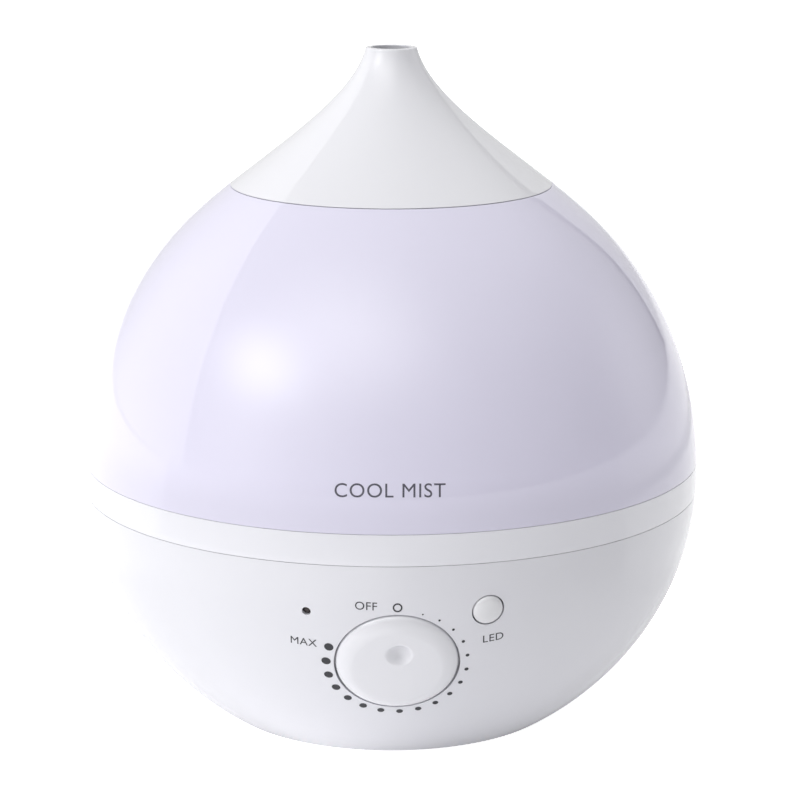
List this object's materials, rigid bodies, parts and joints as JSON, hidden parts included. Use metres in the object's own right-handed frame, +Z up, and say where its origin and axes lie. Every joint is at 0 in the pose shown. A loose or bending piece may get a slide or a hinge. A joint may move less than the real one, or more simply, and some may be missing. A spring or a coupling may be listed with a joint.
{
  "type": "cool mist humidifier",
  "caption": "Drop-shaped ultrasonic cool mist humidifier with a lift-off tank and nozzle cap, mist knob, light button, float, fan and valve.",
  "frame": {"origin": "on the vertical axis, at the resting surface under the feet", "axes": "+Z up along the drop, -Y towards the mist knob, +X to the right when facing the knob"},
  "size_m": [0.2206, 0.2206, 0.24],
  "materials": {
    "cap_plastic": "glossy white",
    "tank_plastic": "glossy translucent lilac white",
    "base_plastic": "glossy white",
    "button_plastic": "glossy white",
    "inner_plastic": "satin white",
    "clear_plastic": "clear",
    "indicator_plastic": "dark red tint",
    "black_plastic": "satin black",
    "circuit_board": "solder mask",
    "seal_rubber": "soft",
    "foot_rubber": "soft grey",
    "steel": "plain",
    "piezo": "plain",
    "heatsink_metal": "anodised",
    "coil_copper": "enamelled wire",
    "magnet": "ferrite",
    "reed_glass": "glass tube"
  },
  "bodies": {
    "base": {"base_ring": "base_plastic", "basin_deck": "inner_plastic", "basin": "inner_plastic", "mist_chamber": "inner_plastic", "air_tube": "inner_plastic", "base_bowl": "base_plastic", "base_plate": "inner_plastic", "base_screws": "steel", "rubber_feet": "foot_rubber", "transducer_seal": "seal_rubber", "transducer_disc": "piezo", "transducer_holder": "inner_plastic", "transducer_screws": "steel", "float_clip": "inner_plastic", "reed_switch": "reed_glass", "fan_frame": "black_plastic", "fan_duct": "inner_plastic", "fan_screws": "steel", "driver_board": "circuit_board", "driver_heatsink": "heatsink_metal", "driver_coil": "coil_copper", "driver_capacitors": "black_plastic", "dial_pot": "black_plastic", "pot_nut": "steel", "button_board": "circuit_board", "button_switch": "black_plastic", "button_buffer": "seal_rubber", "indicator_lens": "indicator_plastic", "indicator_board": "circuit_board", "night_light_board": "circuit_board", "night_light_window": "clear_plastic", "dc_inlet": "black_plastic"},
    "tank": {"tank_body": "tank_plastic", "tank_floor": "inner_plastic"},
    "cap": {"nozzle_cap": "cap_plastic", "mist_funnel": "inner_plastic"},
    "filler": {"fill_cap": "inner_plastic", "fill_cap_seal": "seal_rubber", "valve_spring": "steel"},
    "valve": {"valve_stem": "steel", "valve_disc": "seal_rubber"},
    "knob": {"control_knob": "base_plastic", "pot_shaft": "steel"},
    "button": {"led_button": "button_plastic"},
    "fan": {"fan_rotor": "black_plastic"},
    "float": {"float_body": "inner_plastic", "float_magnet": "magnet"}
  },
  "joints": [
    {"name": "tank_lift", "type": "slide", "parent": "base", "child": "tank", "axis": [0, 0, 1], "range_m": [0, 0.15]},
    {"name": "cap_lift", "type": "slide", "parent": "tank", "child": "cap", "axis": [0, 0, 1], "range_m": [0, 0.08]},
    {"name": "fill_cap_turn", "type": "hinge", "parent": "tank", "child": "filler", "pos_m": [-0.038, -0.038, 0.082], "axis": [0, 0, 1], "range_deg": [0, 90]},
    {"name": "valve_slide", "type": "slide", "parent": "filler", "child": "valve", "axis": [0, 0, 1], "range_m": [0, 0.003], "stiffness_N_per_m": 80, "springref_m": -0.003, "deforming": ["valve_spring"]},
    {"name": "mist_knob_turn", "type": "hinge", "parent": "base", "child": "knob", "pos_m": [0, -0.1009, 0.046], "axis": [0, 0.9057, 0.424], "range_deg": [0, 286]},
    {"name": "led_button_press", "type": "slide", "parent": "base", "child": "button", "axis": [-0.2703, 0.9366, 0.2227], "range_m": [0, 0.0012], "stiffness_N_per_m": 600, "springref_m": -0.0005},
    {"name": "fan_spin", "type": "hinge", "parent": "base", "child": "fan", "pos_m": [0, 0.02, 0.016], "axis": [0, 0, 1], "continuous": true},
    {"name": "float_rise", "type": "slide", "parent": "base", "child": "float", "axis": [0, 0, 1], "range_m": [0, 0.008]}
  ]
}
